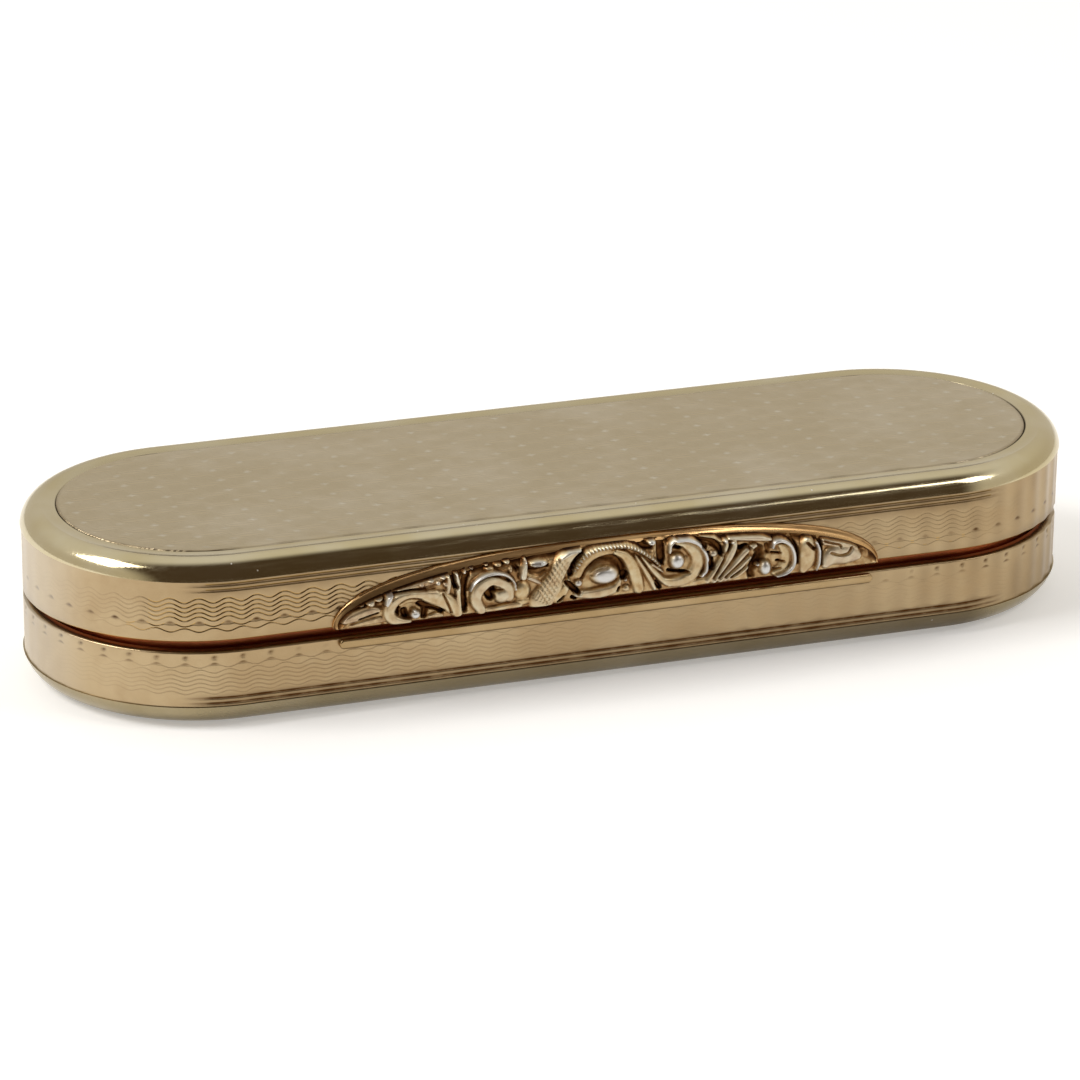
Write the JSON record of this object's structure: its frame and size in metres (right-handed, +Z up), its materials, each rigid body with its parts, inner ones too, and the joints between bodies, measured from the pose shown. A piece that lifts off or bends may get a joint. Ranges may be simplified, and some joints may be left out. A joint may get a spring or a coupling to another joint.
{
  "type": "vinaigrette box",
  "caption": "Slim round-ended silver-gilt vinaigrette: engine-turned box with a hinged lid, cast scroll thumbpiece, hinged pierced grille and a sponge for scent.",
  "frame": {"origin": "middle of the underside of the box, on the table", "axes": "+X along the box, -Y towards the thumbpiece, +Y towards the lid hinge, +Z up"},
  "size_m": [0.05, 0.0178, 0.0079],
  "materials": {
    "engine_turned_gilt": "silver-gilt, engine-turned to a satin grain",
    "polished_gilt": "silver-gilt, polished and worn",
    "cast_gilt": "silver-gilt, cast and chased, worn to silver on the high points",
    "red_gilt": "silver-gilt, unworn and darkened",
    "hinge_gilt": "silver-gilt, turned and worn",
    "grille_gilt": "silver-gilt, pierced and engraved, bright",
    "pin_silver": "drawn silver wire",
    "sponge": "natural sponge, porous"
  },
  "bodies": {
    "base": {"base_plate": "engine_turned_gilt", "base_rim": "polished_gilt", "base_wall": "engine_turned_gilt", "base_bezel": "red_gilt", "base_strip": "polished_gilt", "base_knuckle_1": "hinge_gilt", "base_knuckle_2": "hinge_gilt", "base_knuckle_3": "hinge_gilt", "base_knuckle_4": "hinge_gilt", "hinge_pin": "pin_silver", "hinge_plug_left": "hinge_gilt", "hinge_plug_right": "hinge_gilt", "grille_lug_left": "hinge_gilt", "grille_lug_right": "hinge_gilt", "grille_pin": "pin_silver", "sponge": "sponge"},
    "lid": {"lid_plate": "engine_turned_gilt", "lid_rim": "polished_gilt", "lid_wall": "engine_turned_gilt", "thumbpiece_plate": "polished_gilt", "thumbpiece_scrolls": "cast_gilt", "lid_knuckle_1": "hinge_gilt", "lid_knuckle_2": "hinge_gilt", "lid_knuckle_3": "hinge_gilt"},
    "grille": {"grille_plate": "grille_gilt", "grille_knuckle": "hinge_gilt", "grille_tab": "grille_gilt"}
  },
  "joints": [
    {"name": "lid_hinge", "type": "hinge", "parent": "base", "child": "lid", "pos_m": [0, 0.00815, 0.00375], "axis": [-1, 0, 0], "range_deg": [0, 105]},
    {"name": "grille_hinge", "type": "hinge", "parent": "base", "child": "grille", "pos_m": [0, 0.0063, 0.00455], "axis": [-1, 0, 0], "range_deg": [0, 84]}
  ],
  "couplings": [
    {"joint": "grille_hinge", "follows": "lid_hinge", "ratio": 0.8}
  ]
}
